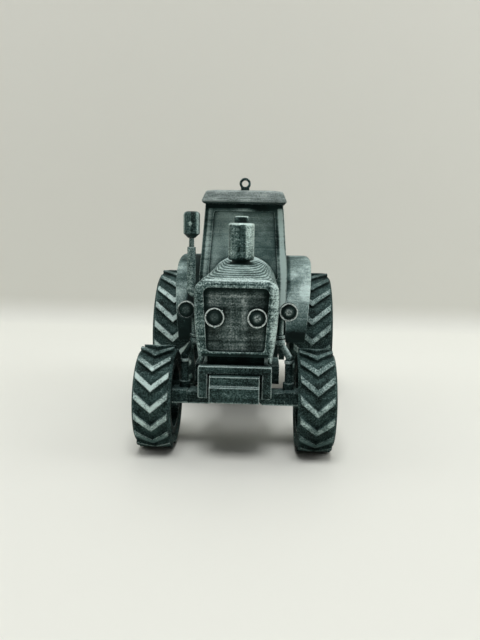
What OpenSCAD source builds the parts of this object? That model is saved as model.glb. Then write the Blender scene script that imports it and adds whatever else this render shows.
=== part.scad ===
// A small printed model of a four-wheel farm tractor with a closed cab and a hanging ring on its roof.
// Millimetres. The front faces -Y and up is +Z. The origin is on the ground at the middle of the outer box.

/* [Wheels] */
// Distance between the front and rear axles
wheelbase = 60; // [58:0.5:62]
// Front tyre diameter over the lug tips
front_tyre_d = 26.2; // [25.6:0.1:26.8]
// Front tyre width
front_tyre_w = 9.4; // [8.8:0.1:9.8]
// Front rim diameter at the tyre seat
front_rim_d = 17.6; // [16.4:0.2:18.2]
// Distance between the middles of the front tyres
front_track = 40; // [39.6:0.2:42]
// Number of lugs on a front tyre
front_lugs = 16; // [14:1:18]
// Rear tyre diameter over the lug tips
rear_tyre_d = 41; // [39:0.5:42]
// Rear tyre width
rear_tyre_w = 13.4; // [12.4:0.2:13.8]
// Rear rim diameter at the tyre seat
rear_rim_d = 26.4; // [24:0.2:28]
// Distance between the middles of the rear tyres
rear_track = 44.6; // [44.2:0.2:46.6]
// Number of lugs on a rear tyre
rear_lugs = 20; // [18:1:22]
// Height of the lugs
lug_h = 1; // [0.7:0.1:1.2]
// Diameter of the pins that carry the front wheels
front_pin_d = 3; // [2.4:0.1:3.4]
// Diameter of the pins that carry the rear wheels
rear_pin_d = 3.6; // [3:0.1:4.2]
// Clearance round a wheel's pin
run_gap = 0.1; // [0.06:0.01:0.2]
// Clearance at each end of a wheel's hub
end_gap = 0.25; // [0.15:0.05:0.35]

/* [Hood] */
// Length from the nose to the cab
hood_len = 46; // [44:0.5:48]
// Width across the shoulders
hood_w = 20.5; // [19.7:0.1:20.7]
// Width across the foot of the nose
nose_foot_w = 17.6; // [17:0.1:18.2]
// Height of the foot of the nose
nose_foot_z = 23.8; // [23.8:0.1:24.4]
// Height where the shoulders start
shoulder_z = 39.5; // [38.5:0.25:40.5]
// Height of the top edge of the nose
nose_top_z = 44.1; // [43.6:0.1:44.8]
// Height of the hood at the cab
hood_rear_z = 48; // [47:0.25:49]
// Distance of the nose ahead of the front axle
nose_ahead = 9; // [8.5:0.25:9.5]
// Radius round the edges of the nose
nose_round = 1.5; // [1.1:0.1:1.5]
// Wall thickness of the hood
skin = 0.9; // [0.7:0.1:1.1]
// Height of the lower edge of the hood behind the nose
hood_edge_z = 29.3; // [28.8:0.1:30]

/* [Nose] */
// Half width of the grille at its top
grille_top = 8; // [7.6:0.1:8.2]
// Half width of the grille at its foot
grille_foot = 7; // [6.6:0.1:7.2]
// Height of the top of the grille
grille_z1 = 42.4; // [42:0.1:42.6]
// Height of the foot of the grille
grille_z0 = 26.9; // [26.7:0.1:27.4]
// Distance of the grille lamps from the middle
grille_lamp_x = 5.1; // [4.8:0.1:5.1]
// Height of the grille lamps
grille_lamp_z = 35.25; // [34:0.25:37]
// Diameter of the grille lamps
grille_lamp_d = 4.7; // [4.2:0.1:4.8]
// Distance of the side lamps from the middle
side_lamp_x = 12.9; // [12.8:0.1:13.6]
// Height of the side lamps
side_lamp_z = 35.75; // [35.25:0.25:36.5]
// Diameter of the side lamps
side_lamp_d = 4.6; // [4:0.1:4.6]

/* [Front end] */
// Width of the ballast carrier
carrier_w = 17.8; // [17:0.2:18.4]
// Height of the top of the ballast carrier
carrier_z1 = 23.5; // [23.3:0.1:23.7]
// Height of the feet of the ballast carrier
carrier_z0 = 15.6; // [15:0.1:16]
// Width of the ballast block
ballast_w = 12; // [11:0.2:12.6]
// Height of the top of the ballast block
ballast_z1 = 21.4; // [21.2:0.05:21.75]
// Height of the underside of the ballast block
ballast_z0 = 15.15; // [14.75:0.05:15.75]
// Length of the ballast block
ballast_len = 4; // [3.6:0.1:4.4]

/* [Cab] */
// Length of the cab
cab_len = 30; // [29:0.5:32]
// Width of the cab below its waist
cab_w = 27.1; // [26.7:0.1:27.3]
// Width of the cab at its roof
cab_top_w = 23.6; // [23:0.1:24.2]
// Height of the underside of the boxes below the cab floor
base_z = 15.2; // [14.8:0.1:16]
// Height of the cab floor
floor_z = 30; // [29.8:0.1:30.4]
// Height of the waist of the cab
waist_z = 42; // [41:0.25:43]
// Height where the roof sits on the walls
eaves_z = 63.4; // [62.5:0.1:64]
// Thickness of the cab walls
cab_wall = 1.4; // [1.2:0.1:1.6]
// Height of the roof
roof_h = 4; // [3.6:0.1:4.4]
// How far the roof stands out past the front of the cab
roof_front = 4.6; // [4:0.1:5]
// How far the roof stands out past the back of the cab
roof_back = 2.6; // [2:0.1:3]
// Outer diameter of the hanging ring
ring_d = 3.5; // [3.2:0.1:4]
// Hole of the hanging ring
ring_hole_d = 2; // [1.6:0.1:2.2]
// Thickness of the hanging ring
ring_t = 1.4; // [1.1:0.1:1.8]

/* [Exhausts] */
// Distance of the muffler behind the front axle
muffler_y = 18; // [17:0.5:20]
// Diameter of the muffler
muffler_d = 7.2; // [6.8:0.1:7.6]
// Length of the muffler
muffler_len = 10.2; // [9:0.1:11]
// Distance of the side stack behind the front axle
stack_y = 28; // [27:0.5:29]
// Distance of the side stack from the middle
stack_x = 15; // [14.6:0.1:15.4]
// Height of the joint between the stack's pipe and its head
stack_z = 53; // [51:0.5:54]
// Diameter of the stack's head
stack_head_d = 4.85; // [4.4:0.05:5.2]
// Height of the stack's head
stack_head_h = 7.7; // [7:0.1:8.4]

/* [Fenders] */
// Gap between a rear tyre and its fender
fender_gap = 4.2; // [3.6:0.1:4.6]
// Thickness of a fender
fender_t = 1.7; // [1.4:0.1:2]
// Distance of a fender's outer edge from the middle
fender_x = 22.3; // [21.5:0.1:22.8]
// Distance of the outer edge from the middle at a fender's front foot
fender_foot_x = 19.4; // [18.8:0.1:20]

/* [Hitch] */
// Reach of the drawbar behind the rear axle
drawbar_reach = 24; // [23:0.5:26]
// Thickness of the drawbar
drawbar_t = 2.2; // [1.8:0.1:2.6]
// Diameter of the drawbar's pin hole
drawbar_hole_d = 1.8; // [1.5:0.1:2]

/* [Hidden] */
$fn = 48;
black = [0.13, 0.13, 0.13];
grey = [0.36, 0.38, 0.36];
pale = [0.5, 0.52, 0.5];

// Fits
seat_gap = 0.05;
loose_gap = 0.3;
through = 1;
// A bend is a little fatter than the rods that run into it
bend_bead = 0.08;

// Layout along the tractor
ballast_back = 0.5;
front_reach = max(front_tyre_d / 2, nose_ahead - ballast_back + ballast_len);
rear_reach = max(rear_tyre_d / 2, drawbar_reach);
ay = front_reach - (front_reach + wheelbase + rear_reach) / 2;
ry = ay + wheelbase;
az = front_tyre_d / 2;
rz = rear_tyre_d / 2;
nose_y = ay - nose_ahead;
cab_y = nose_y + hood_len;
cab_back_y = cab_y + cab_len;

// Tyres, with parts as shares of the width or of the pitch of the lugs
tyre_facets = 32;
bead_part = 0.8;
shoulder_part = 0.055;
lug_span = 0.88;
lug_slope = 0.85;
lug_part = 0.33;
lip_gap = 0.2;

// Rims, hubs and caps
lip_h = 0.7;
lip_t = 0.5;
rim_t = 0.9;
front_disc = [-0.4, 0.8];
rear_disc = [-0.6, 1];
front_hub = [-1.8, 1.9];
rear_hub = [-2.8, 2.4];
front_hub_d = 6;
rear_hub_d = 8.4;
front_cap_r = 2.5;
rear_cap_r = 3.5;
cap_t = 1.6;
cap_socket = 0.9;
cap_bevel = [0.85, 0.65];

// Front axle and knuckles
beam_up = 2.1;
beam_down = 1.1;
beam_y = 2.5;
beam_notch = 6.7;
beam_lift = 1.4;
knuckle_in = 7.6;
knuckle_out = 3.8;
knuckle_x0 = front_track / 2 - knuckle_in;
knuckle_x1 = front_track / 2 - knuckle_out;
knuckle_up = beam_up + 0.2;
spindle_r = 2.4;
column_x = knuckle_x0 + 1;
column_y = ay + 1.2;
column_z1 = 22.9;
column_r = 0.95;
column_foot_r = 1.4;
column_foot_h = 1.7;
flange_r = 1.15;
lower_flange_r = 0.98;
flange_t = 0.7;
boss_x = 11.05;
boss_z = 27.5;
boss_r = 1.25;
arm_r = 0.85;
arm_bend_z = column_z1 + 0.9;

// Middle of the machine
bolster_w = 16.4;
bolster_y0 = nose_y + ballast_back;
bolster_y1 = ay + 3;
bolster_z1 = carrier_z1 - 0.3;
bolster_z0 = az + beam_up;
carrier_t = 1.5;
carrier_round = 0.5;
slot_w = ballast_w + 1.2;
slot_z1 = ballast_z1 + loose_gap;
ballast_ledge_z = ballast_z0 + (ballast_z1 - ballast_z0) * 0.63;
ballast_ledge = 0.7;
ballast_slope = 0.2;
engine_rise = 0.135;
engine_z1 = shoulder_z + (nose_top_z - skin - shoulder_z) * engine_rise;
engine_y1 = cab_y - 1;
engine_ribs = 6;
rib_r = 0.8;
sump_z = 16.2;
sump_z1 = 21;
sump_w = 22;
sump_len = 11;
gearbox_w = 23;
gearbox_z0 = 14;
gearbox_bevel = 3;
floor_t = 1.2;
under_floor = floor_z - floor_t;
axle_box = [15, 14, 13];
trumpet_r = [3.6, 2.8];
trumpet_flange_r = 5;
trumpet_flange_t = 1.2;
radiator_t = 3.2;
radiator_w = 14;

// Hood and nose
hood_rise = 0.75;
crown_rear = 2;
crown_nose = 4.5;
flank_curve = 1.9;
chin = 1.3;
nose_wall = 3;
intake_half = 7.9;
intake_z1 = grille_z0 - 1.1;
nose_lap = 0.4;
grille_round = [0.9, 1.5];
ledge = 1.1;
ledge_w = 0.7;
grille_t = 1.4;
grille_crown = 0.45;

// Lamps
lamp_pocket = 0.5;
lamp_stand = 1.4;
lamp_rim = 0.45;
lamp_dish = 0.5;
lamp_dome = 0.6;
lamp_bowl_h = 2;
side_lamp_back_r = 1.2;
side_lamp_len = 3.6;
side_lamp_y = ay - 1;
post_r = 0.7;
post_tip_r = 0.56;
post_flange_r = 1.1;
post_flange_t = 0.6;
post_z1 = side_lamp_z - 2.2;

// Exhausts
muffler_neck_r = 2.5;
muffler_stand = 0.7;
muffler_round = 0.6;
outlet_r = 2.05;
outlet_h = 1.9;
stack_r = 1.25;
stack_neck_r = 0.75;
stack_neck_h = 2.6;
stack_bend = 1.6;
stack_pipe_z = 36.6;
stack_flange_r = 2;
stack_flange_t = 0.8;
stack_lap = 0.3;
stack_foot_r = 1.05;
stack_foot_h = 1.3;
stack_round = 1.1;

// Cab
pane_t = 0.7;
rebate = 0.6;
pane_round = 0.8;
cab_half = cab_w / 2;
lean = (cab_half - cab_top_w / 2) / (eaves_z - waist_z);
screen_z0 = 40.5;
screen_z1 = eaves_z - 2.2;
screen_half0 = cab_half - 2.7;
screen_half1 = cab_top_w / 2 - 2.6;
door_z0 = 36;
quarter_z0 = 48;
door_edge = 3;
door_post = [12.5, 15.5];
roof_side = 1;
roof_round = 2.2;
// Rings up the roof, each an inset and a share of its height
roof_rings = [[0.5, 0], [0.05, 0.12], [0, 0.22], [1.05, 0.85], [1.4, 0.93], [3, 1]];
ring_y = cab_y + 5;
ring_foot_w = 2.6;
ring_foot_h = 1.1;

// Fenders
fender_r = rear_tyre_d / 2 + fender_gap;
fender_roll = 2.2;
fender_lip = 1;
fender_arc = [2, 138];
fender_x0 = cab_half + seat_gap;

// Hitch
drawbar_half = 2;
drawbar_lap = 5;
lift_x = 5.4;
lift_r = 0.9;
lift_reach = 9;
lift_z0 = 16.2;
lift_ball_z = 13.5;
lift_ball_r = 1.35;
rocker_reach = 4.5;
rocker_z0 = 26;
rocker_z1 = 25.5;
rocker_ball_r = 1.08;
rod_r = 0.63;
rod_share = 0.6;

// Small helpers
function arc(c, r, a0, a1, n) =
    [for (i = [0 : n]) let (a = a0 + (a1 - a0) * i / n) c + r * [cos(a), sin(a)]];
function unit(v) = v / norm(v);
function both(p) = concat(p, [for (i = [len(p) - 1 : -1 : 0]) [-p[i][0], p[i][1]]]);
function corner(a, b, c, r, n) =
    let (u = unit(a - b), v = unit(c - b), h = acos(u * v) / 2, m = b + unit(u + v) * r / sin(h))
    let (p = b + u * r / tan(h) - m, q = b + v * r / tan(h) - m)
    let (a0 = atan2(p[1], p[0]), d = atan2(q[1], q[0]) - a0)
    let (turn = d > 180 ? d - 360 : d < -180 ? d + 360 : d)
    arc(m, r, a0, a0 + turn, n);
function rounded(p, r, n = 6) =
    let (k = len(p))
    [for (i = [0 : k - 1]) each corner(p[(i + k - 1) % k], p[i], p[(i + 1) % k], r[i], n)];
function four(r) = [r, r, r, r];
function frame4(h0, h1, z0, z1) = [[h0, z0], [h1, z1], [-h1, z1], [-h0, z0]];

// Draws a front view [x, z] as a plate from y1 forward by t
module front_view(p, y1, t) {
    translate([0, y1, 0])
        rotate([90, 0, 0])
            linear_extrude(t)
                polygon(p);
}

// Draws a side view [y, z] as a plate from x0 towards +X by t
module side_view(p, x0, t) {
    translate([x0, 0, 0])
        rotate([90, 0, 90])
            linear_extrude(t)
                polygon(p);
}

module box(x, y, z) {
    translate([x[0], y[0], z[0]])
        cube([x[1] - x[0], y[1] - y[0], z[1] - z[0]]);
}

module rod(a, b, r) {
    d = b - a;
    translate(a)
        rotate([0, acos(d[2] / norm(d)), atan2(d[1], d[0])])
            cylinder(h = norm(d), r = r);
}

module on_side(s) {
    if (s > 0)
        children();
    else
        mirror([1, 0, 0])
            children();
}

module on_both() {
    children();
    mirror([1, 0, 0])
        children();
}

module at_axle(x, y, z) {
    translate([x, y, z])
        rotate([0, 90, 0])
            children();
}

// Turned about a line along Y, with the profile's second coordinate measured forward from y
module lamp_turn(x, y, z, p) {
    translate([x, y, z])
        rotate([90, 0, 0])
            rotate_extrude()
                polygon(p);
}

// Wheels, built for the +X side with the outer face towards +X
function tyre_outline(r, w, bead, rb) =
    let (b = bead / 2, s = w * shoulder_part)
    let (half = [[rb, b], [rb + lip_h + lip_gap, b], [r - s, w / 2], [r, w / 2 - s]])
    concat(half, [for (i = [len(half) - 1 : -1 : 0]) [half[i][0], -half[i][1]]]);

// One lug seen from outside the tyre, a V whose point leads when the tractor rolls forward
function lug_outline(h, t, drop) =
    let (v = t / 2)
    [[h, v - drop], [0, v], [-h, v - drop], [-h, -v - drop], [0, -v], [h, -v - drop]];

module tyre(d, w, rim_d, lugs) {
    r = d / 2;
    r0 = r - 2 * lug_h;
    h = w * lug_span / 2;
    pitch = PI * d / lugs;
    rotate_extrude($fn = tyre_facets)
        polygon(tyre_outline(r - lug_h, w, w * bead_part, rim_d / 2 + seat_gap));
    intersection() {
        rotate_extrude($fn = tyre_facets)
            polygon([[r0, -w], [r, -w], [r, w], [r0, w]]);
        for (i = [0 : lugs - 1])
            rotate([0, 0, 360 * i / lugs])
                translate([r0, 0, 0])
                    rotate([0, 90, 0])
                        linear_extrude(3 * lug_h)
                            polygon(lug_outline(h, pitch * lug_part, h * lug_slope));
    }
}

module rim(w, rim_d, hub, hub_d, pin_d, disc) {
    r = rim_d / 2;
    b = w * bead_part / 2;
    difference() {
        union() {
            difference() {
                union() {
                    cylinder(h = 2 * b, r = r, center = true);
                    for (s = [-1, 1])
                        translate([0, 0, s * (b + seat_gap + lip_t / 2)])
                            cylinder(h = lip_t, r = r + lip_h, center = true);
                    cylinder(h = 2 * (b + seat_gap + lip_t), r = r - rim_t / 2, center = true);
                }
                cylinder(h = 2 * (b + lip_t + through), r = r - rim_t, center = true);
            }
            translate([0, 0, disc[0]])
                cylinder(h = disc[1] - disc[0], r = r - rim_t / 2);
            translate([0, 0, hub[0]])
                cylinder(h = hub[1] - hub[0], r = hub_d / 2);
        }
        cylinder(h = 2 * w, r = pin_d / 2 + run_gap, center = true);
    }
}

module front_wheel_place(s) {
    on_side(s)
        at_axle(front_track / 2, ay, az)
            children();
}

module rear_wheel_place(s) {
    on_side(s)
        at_axle(rear_track / 2, ry, rz)
            children();
}

module front_tyre(s) {
    color(black)
        front_wheel_place(s)
            tyre(front_tyre_d, front_tyre_w, front_rim_d, front_lugs);
}

module rear_tyre(s) {
    color(black)
        rear_wheel_place(s)
            tyre(rear_tyre_d, rear_tyre_w, rear_rim_d, rear_lugs);
}

module front_rim(s) {
    color(grey)
        front_wheel_place(s)
            rim(front_tyre_w, front_rim_d, front_hub, front_hub_d, front_pin_d, front_disc);
}

module rear_rim(s) {
    color(grey)
        rear_wheel_place(s)
            rim(rear_tyre_w, rear_rim_d, rear_hub, rear_hub_d, rear_pin_d, rear_disc);
}

module front_tyre_left() front_tyre(1);
module front_tyre_right() front_tyre(-1);
module rear_tyre_left() rear_tyre(1);
module rear_tyre_right() rear_tyre(-1);
module front_rim_left() front_rim(1);
module front_rim_right() front_rim(-1);
module rear_rim_left() rear_rim(1);
module rear_rim_right() rear_rim(-1);

// A cap on the end of a pin, with a bevelled edge and a socket for the pin
module hub_cap(hub, r, pin_d) {
    z = hub[1] + end_gap;
    difference() {
        translate([0, 0, z])
            rotate_extrude()
                polygon([[0, 0], [r, 0], [r, cap_t - cap_bevel[1]], [r - cap_bevel[0], cap_t], [0, cap_t]]);
        translate([0, 0, z - through])
            cylinder(h = cap_socket + through, r = pin_d / 2 + seat_gap);
    }
}

module hub_caps() {
    color(grey)
        for (s = [-1, 1]) {
            front_wheel_place(s)
                hub_cap(front_hub, front_cap_r, front_pin_d);
            rear_wheel_place(s)
                hub_cap(rear_hub, rear_cap_r, rear_pin_d);
        }
}

// Front axle and what stands on it
module front_axle() {
    z0 = az - beam_down;
    z1 = az + beam_up;
    x1 = knuckle_x0 - seat_gap;
    color(black)
        front_view(both([[beam_notch - beam_lift, z0 + beam_lift], [beam_notch, z0], [x1, z0], [x1, z1]]),
            ay + beam_y, 2 * beam_y);
}

module knuckle(s) {
    z1 = az + knuckle_up;
    hub_x = front_track / 2 + front_hub[0] - end_gap;
    pin_x = front_track / 2 + front_hub[1] + end_gap + cap_socket - seat_gap;
    lower_z = column_z1 - 2 * flange_t;
    color(black)
        on_side(s) {
            box([knuckle_x0, knuckle_x1], [ay - beam_y, ay + beam_y], [az - beam_down, z1]);
            at_axle(knuckle_x1 - through, ay, az)
                cylinder(h = hub_x - knuckle_x1 + through, r = spindle_r);
            at_axle(hub_x - through, ay, az)
                cylinder(h = pin_x - hub_x + through, r = front_pin_d / 2);
            translate([column_x, column_y, z1 - seat_gap])
                cylinder(h = column_foot_h + seat_gap, r = column_foot_r);
            translate([column_x, column_y, z1])
                cylinder(h = column_z1 - z1, r = column_r);
            translate([column_x, column_y, column_z1 - flange_t])
                cylinder(h = flange_t, r = flange_r);
            translate([column_x, column_y, lower_z - flange_t])
                cylinder(h = flange_t, r = lower_flange_r);
        }
}

module knuckle_left() knuckle(1);
module knuckle_right() knuckle(-1);

// A bent arm runs from each knuckle's column to a boss beside the engine
module knuckle_arms() {
    bend = [column_x, column_y, arm_bend_z];
    boss = [boss_x, column_y, boss_z];
    color(black)
        on_both() {
            translate([column_x, column_y, column_z1 + seat_gap])
                cylinder(h = arm_bend_z - column_z1 - seat_gap, r = arm_r);
            translate(bend)
                sphere(r = arm_r + bend_bead);
            rod(bend, boss, arm_r);
            translate(boss)
                sphere(r = boss_r);
            rod([engine_half() + seat_gap, column_y, boss_z], boss, arm_r);
        }
}

module front_bolster() {
    h = bolster_w / 2;
    color(black)
        box([-h, h], [bolster_y0, bolster_y1 - seat_gap], [bolster_z0 + seat_gap, bolster_z1]);
}

module ballast_carrier() {
    h = carrier_w / 2;
    plate = rounded(frame4(h, h, carrier_z0, carrier_z1), four(carrier_round));
    slot = frame4(slot_w / 2, slot_w / 2, carrier_z0 - through, slot_z1);
    color(black)
        difference() {
            front_view(plate, bolster_y0, carrier_t);
            front_view(slot, bolster_y0 + through, carrier_t + 2 * through);
        }
}

module ballast_block() {
    y0 = bolster_y0 - ballast_len;
    y1 = bolster_y0;
    yl = y0 + ballast_ledge;
    back = [[y1, ballast_z0], [y1, ballast_z1]];
    front = [[yl, ballast_z1], [yl, ballast_ledge_z], [y0, ballast_ledge_z - ballast_slope], [y0, ballast_z0]];
    color(black)
        side_view(concat(back, front), -ballast_w / 2, ballast_w);
}

module radiator() {
    y0 = nose_y + nose_wall + loose_gap;
    color(black)
        box([-radiator_w / 2, radiator_w / 2], [y0, y0 + radiator_t], [bolster_z1 + seat_gap, engine_z1]);
}

function engine_half() = hood_half(hood_edge_z) - skin - loose_gap;

module engine_block() {
    h = engine_half();
    y0 = bolster_y1;
    pitch = (engine_y1 - y0) / (engine_ribs + 1);
    color(black) {
        box([-h + rib_r / 2, h - rib_r / 2], [y0, engine_y1], [sump_z, engine_z1]);
        box([-h, h], [y0, y0 + pitch], [sump_z, engine_z1]);
        for (i = [2 : engine_ribs], s = [-1, 1])
            translate([s * (h - rib_r), y0 + i * pitch, sump_z])
                cylinder(h = engine_z1 - sump_z, r = rib_r);
        box([-sump_w / 2, sump_w / 2], [y0, y0 + sump_len], [sump_z, sump_z1]);
    }
}

module gearbox() {
    y0 = engine_y1 + seat_gap;
    y1 = ry - axle_box[1] / 2 - seat_gap;
    z1 = under_floor - seat_gap;
    color(black)
        side_view([[y0, gearbox_z0 + gearbox_bevel], [y0 + gearbox_bevel, gearbox_z0], [y1, gearbox_z0],
            [y1, z1], [y0, z1]], -gearbox_w / 2, gearbox_w);
}

module rear_axle() {
    x0 = axle_box[0] / 2;
    y = axle_box[1] / 2;
    hub_x = rear_track / 2 + rear_hub[0] - end_gap;
    pin_x = rear_track / 2 + rear_hub[1] + end_gap + cap_socket - seat_gap;
    color(black) {
        box([-x0, x0], [ry - y, ry + y], [rz - axle_box[2] / 2, under_floor - seat_gap]);
        on_both() {
            at_axle(x0 - through, ry, rz)
                cylinder(h = hub_x - x0 + through, r1 = trumpet_r[0], r2 = trumpet_r[1]);
            at_axle(x0 - through, ry, rz)
                cylinder(h = trumpet_flange_t + through, r = trumpet_flange_r);
            at_axle(hub_x - through, ry, rz)
                cylinder(h = pin_x - hub_x + through, r = rear_pin_d / 2);
        }
    }
}

// Hood, a hollow loft of rounded sections from the nose back to the cab
function hood_u(y) = min(1, max(0, (y - nose_y) / hood_len));
function hood_top(y) = nose_top_z + (hood_rear_z - nose_top_z) * pow(hood_u(y), hood_rise);
function hood_power(y) = crown_rear + (crown_nose - crown_rear) * pow(1 - hood_u(y), 3);
function hood_half(z) =
    let (down = max(0, (shoulder_z - z) / (shoulder_z - nose_foot_z)))
    (hood_w - (hood_w - nose_foot_w) * pow(down, flank_curve)) / 2;
function hood_side(y, d, z0) =
    [for (i = [0 : 5]) let (z = z0 + (shoulder_z - z0) * i / 5) [hood_half(z) - d, y, z]];
function hood_crown(y, d) =
    let (e = 2 / hood_power(y), w = hood_w / 2 - d, h = hood_top(y) - d - shoulder_z)
    [for (a = [9 : 9 : 171]) [sign(cos(a)) * w * pow(abs(cos(a)), e), y, shoulder_z + h * pow(sin(a), e)]];
function flip(p) = [for (i = [len(p) - 1 : -1 : 0]) [-p[i][0], p[i][1], p[i][2]]];
function hood_ring(y, d, z0) =
    let (side = hood_side(y, d, z0)) concat(side, hood_crown(y, d), flip(side));

module loft(rings) {
    n = len(rings[0]);
    m = len(rings);
    polyhedron(
        points = [for (r = rings) each r],
        faces = concat(
            [[for (i = [0 : n - 1]) i]],
            [for (k = [0 : m - 2], i = [0 : n - 1])
                let (a = k * n + i, b = k * n + (i + 1) % n)
                each [[a, a + n, b + n], [a, b + n, b]]],
            [[for (i = [n - 1 : -1 : 0]) (m - 1) * n + i]]
        )
    );
}

// The outside steps up from the foot of the nose to the lower edge of the sides
module hood_outside() {
    lip_y = nose_y + nose_wall + nose_lap;
    back = [for (t = [1, 0.75, 0.5, 0.32, 0.18, 0.1]) hood_ring(nose_y + hood_len * t, 0, hood_edge_z)];
    nose = [for (b = [90 : -30 : 0])
        let (d = nose_round * (1 - sin(b)))
        hood_ring(nose_y + nose_round * (1 - cos(b)), d, nose_foot_z + d * chin)];
    loft(concat(back, [hood_ring(lip_y + seat_gap, 0, hood_edge_z), hood_ring(lip_y, 0, nose_foot_z)], nose));
}

// The space for the engine, open below and at the cab
module hood_inside() {
    loft([for (y = [cab_y + through, nose_y + hood_len * 0.5, nose_y + hood_len * 0.25, nose_y + nose_wall])
        hood_ring(y, skin, nose_foot_z - through)]);
}

function grille_outline(d) =
    let (a = grille_round[0] + d, b = grille_round[1] + d)
    rounded(frame4(grille_foot + d, grille_top + d, grille_z0 - d, grille_z1 + d), [a, b, b, a], 5);

// The nose has the grille's opening and a low air intake under its lower lip
module hood() {
    intake = frame4(intake_half, intake_half, nose_foot_z - through, intake_z1);
    color(grey)
        difference() {
            hood_outside();
            hood_inside();
            front_view(grille_outline(0), nose_y + nose_wall + through, nose_wall + 2 * through);
            front_view(grille_outline(ledge_w), nose_y + nose_wall + through, nose_wall + through - ledge);
            front_view(intake, nose_y + nose_wall + through, nose_wall + 2 * through);
            translate([0, ay + muffler_y, shoulder_z])
                cylinder(h = hood_rear_z, r = muffler_neck_r + seat_gap);
        }
}

// Grille panel with a low ridge down its middle, seated behind the ledge of the nose
module grille() {
    y0 = nose_y + ledge;
    y1 = y0 + grille_t;
    ridge = [[-grille_top, y0 + seat_gap], [0, y0 - grille_crown], [grille_top, y0 + seat_gap]];
    color(grey)
        difference() {
            union() {
                front_view(grille_outline(ledge_w - seat_gap), y1, grille_t - seat_gap);
                intersection() {
                    front_view(grille_outline(-seat_gap), y1, grille_t + grille_crown);
                    translate([0, 0, grille_z0 - through])
                        linear_extrude(grille_z1 - grille_z0 + 2 * through)
                            polygon(concat(ridge, [[grille_top, y1], [-grille_top, y1]]));
                }
            }
            on_both()
                translate([grille_lamp_x, y0 + lamp_pocket, grille_lamp_z])
                    rotate([90, 0, 0])
                        cylinder(h = nose_wall, r = grille_lamp_d / 2 + seat_gap);
        }
}

// A round lamp with a thin rim and a domed lens set back in it
function lamp_profile(r, h, back_r) =
    let (lens_r = r - lamp_rim, lens_z = h - lamp_dish, bowl_h = back_r < r ? lamp_bowl_h : 0)
    concat([[0, 0], [back_r, 0]], bowl_h > 0 ? [[r, bowl_h]] : [], [[r, h], [lens_r, h]],
        [for (a = [0 : 18 : 90]) [lens_r * cos(a), lens_z + lamp_dome * sin(a)]]);

module grille_lamps() {
    r = grille_lamp_d / 2;
    color(pale)
        on_both()
            lamp_turn(grille_lamp_x, nose_y + ledge + lamp_pocket, grille_lamp_z,
                lamp_profile(r, lamp_pocket + lamp_stand, r));
}

module side_lamps() {
    p = lamp_profile(side_lamp_d / 2, side_lamp_len, side_lamp_back_r);
    color(pale)
        on_both()
            lamp_turn(side_lamp_x, side_lamp_y + side_lamp_len, side_lamp_z, p);
}

// A post stands on each boss of the knuckle arms and leans out to its lamp
module lamp_posts() {
    foot = boss_z + boss_r + seat_gap;
    top = [boss_x, column_y, post_z1];
    lamp = [side_lamp_x, column_y, side_lamp_z];
    tip = lamp - unit(lamp - top) * (side_lamp_d / 2 + seat_gap);
    color(black)
        on_both() {
            translate([boss_x, column_y, foot])
                cylinder(h = post_flange_t, r = post_flange_r);
            translate([boss_x, column_y, foot])
                cylinder(h = post_z1 - foot, r = post_r);
            translate(top)
                sphere(r = post_r + bend_bead);
            rod(top, tip, post_tip_r);
        }
}

module muffler() {
    r = muffler_d / 2;
    y = ay + muffler_y;
    e = muffler_round;
    foot_z = hood_top(y) - skin;
    z0 = hood_top(y) + muffler_stand;
    z1 = z0 + muffler_len;
    z2 = z1 + outlet_h;
    neck = [[0, foot_z], [muffler_neck_r, foot_z], [muffler_neck_r, z0]];
    can = concat(arc([r - e, z0 + e], e, -90, 0, 4), arc([r - e, z1 - e], e, 0, 90, 4));
    outlet = concat([[outlet_r, z1]], arc([outlet_r - e, z2 - e], e, 0, 90, 4), [[0, z2]]);
    color(black)
        translate([0, y, 0])
            rotate_extrude()
                polygon(concat(neck, can, outlet));
}

// Side stack on the tractor's right, a bent pipe from the hood's side with a plain round head
module stack_pipe() {
    y = ay + stack_y;
    x0 = hood_half(stack_pipe_z) + seat_gap;
    xb = stack_x - stack_bend;
    zb = stack_pipe_z + stack_bend;
    neck_z = stack_z - stack_neck_h;
    color(black)
        mirror([1, 0, 0]) {
            at_axle(x0, y, stack_pipe_z)
                cylinder(h = stack_flange_t, r = stack_flange_r);
            at_axle(x0, y, stack_pipe_z)
                cylinder(h = xb - x0 + stack_lap, r = stack_r);
            translate([xb, y, zb])
                rotate([-90, 0, 0])
                    rotate_extrude(angle = 90)
                        translate([stack_bend, 0])
                            circle(r = stack_r + bend_bead);
            translate([stack_x, y, zb - stack_lap])
                cylinder(h = neck_z - zb + stack_lap, r = stack_r);
            translate([stack_x, y, neck_z - stack_lap])
                cylinder(h = stack_neck_h + stack_lap, r = stack_neck_r);
        }
}

module stack_head() {
    r = stack_head_d / 2;
    h = stack_head_h;
    e = stack_round;
    foot = [[0, 0], [stack_foot_r, 0], [r, stack_foot_h]];
    color(black)
        translate([-stack_x, ay + stack_y, stack_z + seat_gap])
            rotate_extrude()
                polygon(concat(foot, arc([r - e, h - e], e, 0, 90, 5), [[0, h]]));
}

// Cab
function wall_outline() =
    both([[cab_half, floor_z], [cab_half, waist_z], [cab_top_w / 2, eaves_z - seat_gap]]);
function screen_outline(d) =
    rounded(frame4(screen_half0 + d, screen_half1 + d, screen_z0 - d, screen_z1 + d), four(pane_round), 4);
function side_band(d0, d1) =
    let (k = sqrt(1 + lean * lean), z1 = eaves_z - seat_gap, xt = cab_half - lean * (z1 - waist_z))
    [[cab_half - d0, floor_z], [cab_half - d0, waist_z], [xt - d0 * k, z1],
        [xt - d1 * k, z1], [cab_half - d1, waist_z], [cab_half - d1, floor_z]];

module end_wall(y) {
    difference() {
        front_view(wall_outline(), y + cab_wall, cab_wall);
        children();
    }
}

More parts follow.
